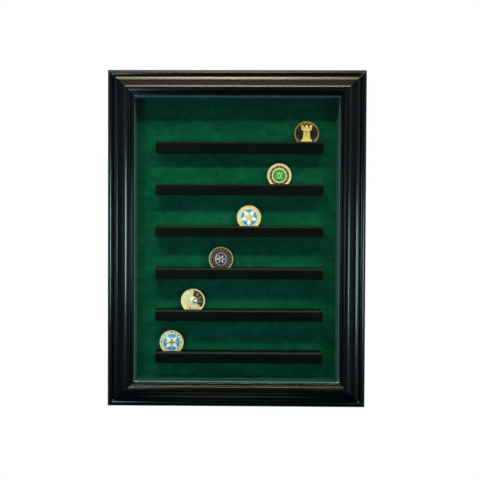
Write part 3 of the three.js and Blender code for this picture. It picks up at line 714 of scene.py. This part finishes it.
def make_ledge(index):
    """A ledge with its groove, a painted highlight on its chamfered front edge, and the ends of its
    two screws.
    """
    node = f"coin_ledge_{index}"
    low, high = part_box(node)
    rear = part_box("suede_backing")[0].y - 0.1 * MM
    depth = rear - low.y
    height = high.z - low.z
    chamfer, back_set, width, sink, soft = (v * MM for v in (2.6, 10, 4, 6, 0.35))
    groove_front = depth - back_set + width / 2
    groove_rear = groove_front - width
    section = [
        (0, 0), (depth, 0), (depth, height - chamfer), (depth - chamfer, height),
        (groove_front, height), (groove_front, height - sink), (groove_rear, height - sink),
        (groove_rear, height), (0, height)]
    section = rounded(section, soft, 3, 60)
    section = rounded(section, 2.4 * MM, 6, 40)
    spans = 60
    bm = bmesh.new()
    rings = []
    for k in range(-1, spans + 2):
        t = min(max(k / spans, 0), 1)
        x = low.x + (high.x - low.x) * t
        inset = soft if k in (-1, spans + 1) else 0.0
        x += soft * ((k == 0) - (k == spans))
        ring = []
        for d, h in section:
            dd = d + (0 if d < 1e-6 else inset * (1 if d < depth / 2 else -1))
            hh = h + inset * (1 if h < height / 2 else -1)
            ring.append((x, rear - dd, low.z + hh))
        rings.append(ring)
    add_tube(bm, rings)
    bm.normal_update()
    # Painted highlight: the chamfer along the top front edge gets paler paint, as the line of light
    # on it.
    for face in bm.faces:
        middle = face.calc_center_median()
        highlight_face = middle.z > high.z - chamfer and middle.y < low.y + chamfer
        if highlight_face and 0.6 < abs(face.normal.z) < 0.93:
            face.material_index = 2
    for share in (-0.36, 0.36):
        x = (low.x + high.x) / 2 + share * (high.x - low.x)
        screw = make_screw()
        screw.transform(at(x, BOARD_SEAT, (low.z + high.z) / 2, POINT_FORWARD))
        paint(screw.faces, 1)
        append(bm, screw)
    ledge = as_object(f"ledge_{index}", bm, [LEDGE_BLACK, ZINC, LEDGE_EDGE_HIGHLIGHT])
    place(ledge, "cabinet", "ledge_black", node)


for i in range(1, 7):
    make_ledge(i)


# Coins
COIN_RADIUS = 19.05 * MM
COIN_HALF = 1.5 * MM
FIELD = 1.1 * MM
FACE, RIM, EDGE = range(3)


def outline_object(outlines, low, high, bevel, material):
    """A flat shape with holes as a mesh: outlines in shares of the coin's radius, x and z."""
    curve = bpy.data.curves.new("outline", "CURVE")
    curve.dimensions = "2D"
    curve.fill_mode = "BOTH"
    curve.extrude = (high - low) / 2 - bevel
    curve.bevel_depth = bevel
    curve.bevel_resolution = 1
    curve.offset = -bevel
    for outline in outlines:
        spline = curve.splines.new("POLY")
        spline.points.add(len(outline) - 1)
        for point, (x, z) in zip(spline.points, outline):
            point.co = (x * COIN_RADIUS, z * COIN_RADIUS, 0, 1)
        spline.use_cyclic_u = True
    holder = bpy.data.objects.new("outline", curve)
    scene.collection.objects.link(holder)
    bpy.context.view_layer.update()
    graph = bpy.context.evaluated_depsgraph_get()
    mesh = bpy.data.meshes.new_from_object(holder.evaluated_get(graph))
    bm = bmesh.new()
    bm.from_mesh(mesh)
    bm.transform(at(0, -(low + high) / 2, 0, POINT_FORWARD))
    bmesh.ops.remove_doubles(bm, verts=bm.verts, dist=2e-6)
    paint(bm.faces, material)
    bpy.data.objects.remove(holder)
    return bm


def circle(radius, x=0.0, z=0.0, squeeze=1.0):
    return [(x + radius * squeeze * math.cos(a), z + radius * math.sin(a)) for a in turns(64)]


def ripple(lobes, middle, swing):
    """A wavy outline with a number of lobes, one of them at the top."""
    out = []
    for a in turns(lobes * 20):
        r = middle + swing * math.cos(lobes * a)
        out.append((r * math.sin(a), r * math.cos(a)))
    return out


def sector(inner, outer, start, end, steps=24):
    """Part of a ring, between two angles in degrees."""
    angles = [math.radians(start + (end - start) * i / steps) for i in range(steps + 1)]
    points = [(outer * math.cos(a), outer * math.sin(a)) for a in angles]
    return points + [(inner * math.cos(a), inner * math.sin(a)) for a in reversed(angles)]


def petal(angle, near, far, width):
    """A pointed leaf that points out from the coin's middle at an angle in degrees."""
    a = math.radians(angle)
    along, side = (math.cos(a), math.sin(a)), (-math.sin(a), math.cos(a))
    steps = 14
    points = []
    for sign in (1, -1):
        for i in range(steps):
            t = i / steps if sign > 0 else 1 - i / steps
            r = near + (far - near) * t
            w = sign * width * math.sin(math.pi * t) ** 0.8 if 0 < t < 1 else 0.0
            points.append((along[0] * r + side[0] * w, along[1] * r + side[1] * w))
    return points


def bar(foot, low, head, high):
    """A level bar between two heights, with half its width at the foot and at the head."""
    return [(-foot, low), (foot, low), (head, high), (-head, high)]


def coin_blank(bm, rim_width):
    """A coin's blank: reeded edge, rounded rim, sunk field on both faces."""
    reeds = 110
    steps = reeds * 2
    rim_inner = COIN_RADIUS - rim_width * MM
    soft = 0.45 * MM
    half = [
        (0, FIELD), (rim_inner - 0.45 * MM, FIELD), (rim_inner - 0.12 * MM, COIN_HALF - 0.08 * MM),
        (rim_inner + 0.1 * MM, COIN_HALF), (COIN_RADIUS - soft, COIN_HALF),
        (COIN_RADIUS - 0.05 * MM, COIN_HALF - 0.1 * MM), (COIN_RADIUS, COIN_HALF - soft)]
    body = turned([(r, -y) for r, y in half] + half[::-1], steps)
    for v in body.verts:
        radius = math.hypot(v.co.x, v.co.y)
        if radius > COIN_RADIUS - 0.02 * MM:
            step = round(math.atan2(v.co.y, v.co.x) / (2 * math.pi) * steps) % 2
            scale = (radius - 0.16 * MM * step) / radius
            v.co.x *= scale
            v.co.y *= scale
    for face in body.faces:
        centre = face.calc_center_median()
        radius = math.hypot(centre.x, centre.y)
        face.material_index = RIM if radius > rim_inner - 0.3 * MM else FACE
        if radius > COIN_RADIUS - 0.4 * MM:
            face.material_index = EDGE
    body.transform(POINT_FORWARD)
    append(bm, body)


class Coin:
    """One coin in the making, at the origin with its face towards -Y."""

    def __init__(self, index, rim, metal=PALE_GOLD, rim_metal=PALE_GOLD, slot="coin_gold"):
        self.index, self.slot = index, slot
        self.bm = bmesh.new()
        self.materials = [metal, rim_metal, BRONZE]
        coin_blank(self.bm, rim)

    def material(self, material):
        if material not in self.materials:
            self.materials.append(material)
        return self.materials.index(material)

    def relief(self, metal, *outlines, rise=0.3, bevel=0.09):
        """A flat shape with bevelled edges that stands up from the field."""
        append(self.bm, outline_object(
            outlines, FIELD - 0.2 * MM, FIELD + rise * MM, bevel * MM, self.material(metal)))

    def fill(self, colour, *outlines, rise=0.06):
        """An enamel fill that lies in the field."""
        self.relief(ENAMEL[colour], *outlines, rise=rise, bevel=0.02)

    def beads(self, metal, count, ring, radius, rise=0.28, turn=0.0):
        """Domed beads, evenly round a ring."""
        size = radius * COIN_RADIUS
        for i in range(count):
            a = 2 * math.pi * (i + turn) / count
            x, z = ring * COIN_RADIUS * math.sin(a), ring * COIN_RADIUS * math.cos(a)
            bead = bmesh.new()
            bmesh.ops.create_uvsphere(bead, u_segments=12, v_segments=8, radius=size)
            for v in bead.verts:
                v.co.z *= rise * MM / size
            bead.transform(at(x, -FIELD, z, POINT_FORWARD))
            paint(bead.faces, self.material(metal))
            append(self.bm, bead)

    def done(self):
        node = f"coin_{self.index}"
        low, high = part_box(node)
        middle = (low + high) / 2
        depth = (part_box("coin_1")[0].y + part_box("coin_1")[1].y) / 2
        self.bm.transform(Matrix.Translation((middle.x, depth, middle.z)))
        obj = as_object(node + "_struck", self.bm, self.materials, 35)
        place(obj, node, self.slot, node)


TOWER = [
    (0.44, -0.64), (0.44, -0.5), (0.3, -0.42), (0.24, 0.2), (0.42, 0.34),
    (0.42, 0.66), (0.25, 0.66), (0.25, 0.52), (0.1, 0.52), (0.1, 0.66)]


def coin_one():
    coin = Coin(1, 0.85, OLD_GOLD, OLD_GOLD)
    coin.fill("black", circle(0.91))
    tower = TOWER + [(-x, z) for x, z in reversed(TOWER)]
    coin.relief(GOLD, tower)
    coin.relief(PALE_GOLD, bar(0.22, 0.24, 0.36, 0.34), rise=0.38)
    coin.relief(PALE_GOLD, bar(0.4, -0.6, 0.4, -0.54), rise=0.38)
    for z in (-0.28, -0.12, 0.04):
        coin.relief(PALE_GOLD, bar(0.24, z, 0.235, z + 0.035), rise=0.36)
    for x, z in (
            (-0.1, -0.2), (0.1, -0.2), (0, -0.04), (-0.1, 0.12), (0.1, 0.12), (-0.24, 0.46),
            (0.24, 0.46)):
        left, right = x - 0.035, x + 0.035
        window = [
            (left, z - 0.05), (right, z - 0.05), (right, z + 0.03), (x, z + 0.07), (left, z + 0.03)]
        coin.fill("umber", window, rise=0.33)
    coin.fill("umber", sector(0.78, 0.9, 48, 132), rise=0.14)
    for start in (52, 72, 92, 112):
        coin.relief(OLD_GOLD, sector(0.81, 0.87, start, start + 15, 6), rise=0.26)
    coin.relief(OLD_GOLD, sector(0.8, 0.84, 205, 250), rise=0.22)
    coin.relief(OLD_GOLD, sector(0.8, 0.84, 290, 335), rise=0.22)
    coin.done()


def coin_two():
    coin = Coin(2, 1.9)
    coin.fill("black", circle(0.8), circle(0.6))
    coin.beads(GOLD, 12, 0.7, 0.05)
    for i in range(12):
        angle = 15 + 30 * i
        coin.relief(OLD_GOLD, sector(0.64, 0.76, angle - 2.2, angle + 2.2, 3), rise=0.2)
    coin.relief(PALE_GOLD, circle(0.6), circle(0.5), rise=0.3)
    coin.fill("deep_green", circle(0.5), circle(0.38), rise=0.08)
    coin.fill("green", circle(0.385), rise=0.1)
    coin.relief(PALE_GOLD, [(0, -0.26), (0.16, 0), (0, 0.26), (-0.16, 0)], rise=0.3)
    coin.fill("brick", [(0, -0.17), (0.1, 0), (0, 0.17), (-0.1, 0)], rise=0.34)
    for angle in (45, 135, 225, 315):
        coin.relief(GOLD, petal(angle, 0.2, 0.36, 0.03), rise=0.22, bevel=0.03)
    coin.done()


def coin_three():
    coin = Coin(3, 1.0)
    coin.relief(PALE_GOLD, circle(0.72), circle(0.66), rise=0.34)
    for i in range(30):
        dash = sector(0.76, 0.86, 12 * i - 1.6, 12 * i + 1.6, 2)
        coin.relief(GOLD, dash, rise=0.16, bevel=0.04)
    coin.fill("sky", circle(0.66))
    for i in range(5):
        coin.fill("white", petal(90 + 36 + 72 * i, 0.2, 0.64, 0.15), rise=0.1)
    coin.relief(GOLD, ripple(5, 0.3, 0.14), rise=0.3)
    coin.relief(PALE_GOLD, ripple(5, 0.17, 0.07), rise=0.38)
    coin.beads(GOLD, 1, 0.0, 0.07, 0.46)
    for i in range(5):
        coin.relief(PALE_GOLD, petal(90 + 72 * i, 0.2, 0.4, 0.025), rise=0.37, bevel=0.03)
    coin.done()


def coin_four():
    coin = Coin(4, 1.2, BRONZE, PALE_BRONZE, "coin_bronze")
    coin.fill("umber", circle(0.91), circle(0.6), rise=0.05)
    coin.beads(OLD_GOLD, 18, 0.8, 0.04, 0.26)
    for i in range(9):
        coin.fill("brick", sector(0.72, 0.86, 40 * i + 4, 40 * i + 14, 4), rise=0.12)
    coin.relief(BRONZE, circle(0.66), circle(0.61), rise=0.24)
    coin.relief(SILVER, circle(0.54, squeeze=0.86), circle(0.47, squeeze=0.86), rise=0.32)
    coin.fill("navy", circle(0.48, squeeze=0.86))
    for i in range(6):
        colour = "white" if i % 2 else "rose"
        coin.fill(colour, petal(60 * i, 0.14, 0.36, 0.045), rise=0.12)
    coin.relief(SILVER, circle(0.17), circle(0.12), rise=0.32, bevel=0.03)
    coin.fill("red", circle(0.125), rise=0.28)
    coin.fill("red", sector(0.68, 0.84, 262, 278, 6), rise=0.14)
    coin.done()


def coin_five():
    coin = Coin(5, 0.9)
    coin.relief(PALE_GOLD, circle(0.92), circle(0.87), rise=0.2, bevel=0.04)
    coin.fill("umber", sector(0.36, 0.86, -40, 88), rise=0.05)
    for k in range(9):
        metal = BRONZE if k % 2 else OLD_GOLD
        coin.relief(metal, petal(15 * k - 36, 0.44, 0.84, 0.05), rise=0.26, bevel=0.04)
    coin.relief(PALE_GOLD, circle(0.3, 0.1, 0), rise=0.3)
    coin.fill("umber", circle(0.2, 0.18, 0), rise=0.34)
    coin.fill("white", circle(0.13, 0.2, 0), rise=0.38)
    for k in range(6):
        coin.relief(PALE_GOLD, petal(118 + 24 * k, 0.42, 0.8, 0.05), rise=0.18, bevel=0.04)
    for k in range(5):
        a = math.radians(226 + 22 * k)
        berry = circle(0.075, 0.62 * math.cos(a), 0.62 * math.sin(a))
        coin.fill("red" if k == 1 else "rose", berry, rise=0.24)
    coin.done()


def coin_six():
    coin = Coin(6, 1.0)
    for i in range(16):
        colour = ("umber", "teal", "brick", "sky")[i % 4]
        angle = 22.5 * i
        coin.fill(colour, sector(0.76, 0.85, angle - 4, angle + 4, 4), rise=0.08)
    coin.beads(PALE_GOLD, 16, 0.8, 0.035, 0.26, turn=0.5)
    coin.relief(PALE_GOLD, circle(0.71), circle(0.66), rise=0.32)
    coin.fill("sky", circle(0.66))
    coin.fill("teal", circle(0.4), rise=0.09)
    for i in range(4):
        coin.fill("white", petal(45 + 90 * i, 0.12, 0.62, 0.13), rise=0.12)
    coin.relief(GOLD, ripple(4, 0.26, 0.16), rise=0.3)
    coin.fill("deep_green", ripple(4, 0.15, 0.07), rise=0.34)
    coin.beads(PALE_GOLD, 1, 0.0, 0.08, 0.44)
    for i in range(4):
        coin.relief(PALE_GOLD, petal(90 * i, 0.22, 0.6, 0.035), rise=0.36, bevel=0.03)
    coin.done()


for make in (coin_one, coin_two, coin_three, coin_four, coin_five, coin_six):
    make()


# Hinges and hangers
def add_knuckle(bm, axis, low, high, radius, bore):
    """One bored knuckle of a hinge, upright round the hinge's axis."""
    soft = 0.3 * MM
    profile = [
        (bore, low), (radius - soft, low), (radius, low + soft),
        (radius, high - soft), (radius - soft, high), (bore, high)]
    columns = []
    for a in turns(48):
        across, away = math.cos(a), math.sin(a)
        columns.append([
            bm.verts.new((axis.x + r * across, axis.y + r * away, z)) for r, z in profile])
    for near, far in zip(columns, columns[1:] + columns[:1]):
        for k in range(len(profile)):
            m = (k + 1) % len(profile)
            bm.faces.new((near[k], far[k], far[m], near[m]))


def finish_plate(plate, places, material, body, slot):
    """Sinks screws into a plate: tapered seats, and slotted heads that lie flush in them."""
    taper = mm((0, -2), (2.78, -2), (2.78, 0.06), (1.5, 1.7), (1.5, 5), (0, 5))
    subtract(plate, [as_object("cutter", turned(taper, 32, where)) for where in places])
    screws = [make_screw() for _ in places]
    sunk = [where @ Matrix.Translation((0, 0, 0.1 * MM)) for where in places]
    finish_screws(plate.name + "_screw", screws, sunk, material, body, slot, 0.7 * MM)


def make_hinge(level):
    """A butt hinge: two leaves with their knuckles and screws, and a turned pin."""
    pin_low, pin_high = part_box(f"hinge_{level}_pin")
    low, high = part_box(f"hinge_{level}_frame_leaf")
    axis = (pin_low + pin_high) / 2
    radius, bore, gap, thick = 3.5 * MM, 1.62 * MM, 0.3 * MM, 1.5 * MM
    pitch = (high.z - low.z + gap) / 5
    middle = (low.z + high.z) / 2
    rows = (-17 * MM, 0, 17 * MM)
    rear = DOOR_BACK
    free_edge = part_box(f"hinge_{level}_door_leaf")[1].x
    outside, clear = axis.x + radius, 3.9 * MM
    leaves = {
        "frame": ("cabinet", (0, 2, 4), (outside - thick, axis.y + clear), (outside, high.y)),
        "door": ("door", (1, 3), (axis.x + clear, rear - thick), (free_edge, rear))}
    for leaf, (body, knuckles, near, far) in leaves.items():
        on_frame = leaf == "frame"
        bm = bmesh.new()
        add_round_box(bm, (*near, low.z), (*far, high.z), 0.25 * MM)
        for index in knuckles:
            bottom = low.z + index * pitch
            top = bottom + pitch - gap
            add_knuckle(bm, axis, bottom, top, radius, bore)
            tab_near = (near[0], axis.y) if on_frame else (axis.x, near[1])
            tab_far = (far[0], near[1] + 2 * MM) if on_frame else (near[0] + 2 * MM, far[1])
            add_round_box(bm, (*tab_near, bottom), (*tab_far, top), 0.2 * MM)
        obj = as_object(f"hinge_{level}_{leaf}_plate", bm, [BLACK_STEEL])
        if on_frame:
            places = [at(near[0], axis.y + 10 * MM, middle + row, POINT_RIGHT) for row in rows]
        else:
            places = [at(axis.x + 12 * MM, rear, middle + row, POINT_FORWARD) for row in rows]
        finish_plate(obj, places, BLACK_STEEL, body, "black_steel")
        place(obj, body, "black_steel", f"hinge_{level}_{leaf}_leaf")
    length = pin_high.z - pin_low.z
    tip = mm((0, 0), (0.8, 0.05), (1.3, 0.3), (1.5, 0.7))
    pin = turned(
        tip + [(r, length - along) for r, along in reversed(tip)], 32,
        Matrix.Translation((axis.x, axis.y, pin_low.z)))
    obj = as_object(f"hinge_{level}_turned_pin", pin, [ZINC], 40)
    place(obj, "cabinet", "bright_steel", f"hinge_{level}_pin")


def make_hanger(side):
    """A keyhole plate let into the stile, with its two screws."""
    node = f"keyhole_hanger_{side}"
    low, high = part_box(node)
    middle = (low + high) / 2
    size = COIN_RADIUS / MM
    outer = arc((0, 12), 8, 8, 0, 180, 24) + arc((0, -12), 8, 8, 180, 360, 24)
    keyhole = arc((0, -4.5), 4.75, 4.75, 58.2, -238.2, 40) + arc((0, 4.5), 2.5, 2.5, 180, 0, 16)
    outlines = [[(x / size, z / size) for x, z in outline] for outline in (outer, keyhole)]
    bm = outline_object(outlines, 0, 1.6 * MM, 0.15 * MM, 0)
    bm.transform(Matrix.Translation((middle.x, 0, middle.z)))
    obj = as_object(f"hanger_plate_{side}", bm, [ZINC])
    rows = (-15 * MM, 15 * MM)
    places = [at(middle.x, 0, middle.z + row, POINT_FORWARD) for row in rows]
    finish_plate(obj, places, ZINC, "cabinet", "bright_steel")
    place(obj, "cabinet", "bright_steel", node)


for level in LEVELS:
    make_hinge(level)
for side in ("left", "right"):
    make_hanger(side)


# Carried-over CAD nodes
def dress(node, material, bevel=0.0):
    """Gives a CAD node its material, and softens its edges."""
    obj = nodes[node]
    obj.data.materials.clear()
    obj.data.materials.append(material)
    if bevel:
        modifier = obj.modifiers.new("soft", "BEVEL")
        modifier.width = bevel
        modifier.segments = 2
        modifier.limit_method = "ANGLE"
        modifier.angle_limit = math.radians(40)
        modifier.harden_normals = True


for member in ("top_rail", "bottom_rail", "left_stile", "right_stile"):
    dress("back_frame_" + member, BLACK_WOOD, 0.4 * MM)
dress("display_board", BLACK_WOOD)
dress("back_panel", HARDBOARD)
dress("glass_pane", GLASS)
for node in nodes:
    if node.startswith("mitre_nail"):
        dress(node, ZINC, 0.1 * MM)


# Stage
AMBIENT = (0.055, 0.16, 0.25, 1)
DIM = (0.032, 0.045, 0.044, 1)
DIM_BELOW = (0.010, 0.015, 0.015, 1)
COOL_SIDE = (0.32, 0.53, 0.61, 1)
WARM_CEILING = (0.26, 0.25, 0.18, 1)
COOL_LAMP = (0.62, 1, 1.12)
FLOOR_LEVEL = -3.2
FLOOR_HALF = 0.45
FLOOR_GLOW = 0.9


def make_floor():
    """A pale floor well below the case, which keeps its shadow."""
    n = Nodes("floor")
    paths = n.add("ShaderNodeLightPath").outputs
    seen = n.math("MAXIMUM", paths["Is Camera Ray"], paths["Is Glossy Ray"])
    seen = n.math("MAXIMUM", seen, paths["Is Transmission Ray"])
    plain = n.add("ShaderNodeBsdfDiffuse", {"Color": (0.9, 0.9, 0.9, 1)})
    glow = n.add("ShaderNodeEmission", {"Color": WHITE})
    material = n.finish(n.blend(n.math("MULTIPLY", seen, FLOOR_GLOW), plain, glow))
    bm = bmesh.new()
    corners = ((-1, -1), (1, -1), (1, 1), (-1, 1))
    bm.faces.new([
        bm.verts.new((x * FLOOR_HALF, y * FLOOR_HALF, FLOOR_LEVEL)) for x, y in corners])
    floor = as_object("floor", bm, [material])


def make_world():
    """White behind the case, a dim studio before it, and a cool plain light on all matt faces."""
    n = Nodes("studio", world=True)
    towards = n.add("ShaderNodeTexCoord").outputs["Generated"]
    across, along, up = n.add("ShaderNodeSeparateXYZ", {0: towards}).outputs
    front = n.rise(n.math("MULTIPLY", along, -1), -0.1, 0.4)
    wide = n.math("MULTIPLY", n.rise(n.math("ABSOLUTE", across), 0.45, 0.85), front)
    high = n.math("MULTIPLY", n.rise(up, 0.50, 0.72), front)
    low = n.rise(n.math("MULTIPLY", up, -1), 0.05, 0.45)
    colour = n.mix(wide, DIM, COOL_SIDE)
    colour = n.mix(low, colour, DIM_BELOW)
    colour = n.mix(high, colour, WARM_CEILING)
    colour = n.mix(n.rise(along, 0.90, 0.98), colour, WHITE)
    mirrored, matt, white = [
        n.add("ShaderNodeBackground", {"Color": c}) for c in (colour, AMBIENT, WHITE)]
    paths = n.add("ShaderNodeLightPath").outputs
    shiny = n.math("MAXIMUM", paths["Is Glossy Ray"], paths["Is Transmission Ray"])
    lit = n.blend(shiny, matt, mirrored)
    scene.world = n.finish(n.blend(paths["Is Camera Ray"], lit, white))


def make_lamp(name, where, towards, size, power, colour, spread=180):
    data = bpy.data.lights.new(name, "AREA")
    data.shape = "ELLIPSE" if name.startswith("side") else "RECTANGLE"
    data.size, data.size_y = size
    data.energy = power
    data.color = colour
    data.spread = math.radians(spread)
    lamp = bpy.data.objects.new(name, data)
    lamp.location = where
    lamp.rotation_mode = "QUATERNION"
    lamp.rotation_quaternion = Vector(towards).to_track_quat("-Z", "Y")
    scene.collection.objects.link(lamp)


make_floor()
make_world()
make_lamp("overhead", (0.035, -0.345, 0.225), (0, -0.675, -1), (0.78, 0.18), 21, (1, 0.85, 0.55))
make_lamp("strip_top", (0, -0.25, 0.185), (0, 0.205, -0.173), (0.7, 0.03), 0.07, (1, 0.85, 0.6), 30)
make_lamp("panel_top", (0, -0.075, 0.25), (0, 0, -1), (0.7, 0.09), 0.10, (1, 0.88, 0.66), 60)
make_lamp("fill_back", (0.1, 0.95, -0.5), (-0.1, -1, 0.1), (2, 1.3), 12, (1, 0.97, 0.93))
make_lamp("side_left", (-0.5, -1.0, -0.263), (0.2, 1, 0), (0.30, 0.44), 0.76, COOL_LAMP, 70)
make_lamp("side_right", (0.74, -1.0, -0.383), (-0.45, 1, 0), (0.40, 0.44), 0.48, COOL_LAMP, 60)

optics = bpy.data.cameras.new("camera")
optics.lens = 43.267
optics.sensor_width = 36
optics.shift_x = 0.04245
optics.shift_y = -0.03119
optics.clip_start = 0.05
optics.clip_end = 50
camera = bpy.data.objects.new("camera", optics)
scene.collection.objects.link(camera)
tilt, swing, roll = (math.radians(v) for v in (-0.80029, 0.59634, -0.2142))
camera.matrix_world = (
    Matrix.Translation((-16.877 * MM, -922.437 * MM, -203.37 * MM))
    @ Matrix.Rotation(swing, 4, "Z") @ Matrix.Rotation(tilt, 4, "X") @ Matrix.Rotation(roll, 4, "Y")
    @ Matrix.Rotation(math.pi / 2, 4, "X"))
scene.camera = camera

scene.view_settings.view_transform = "Standard"

bpy.context.view_layer.update()
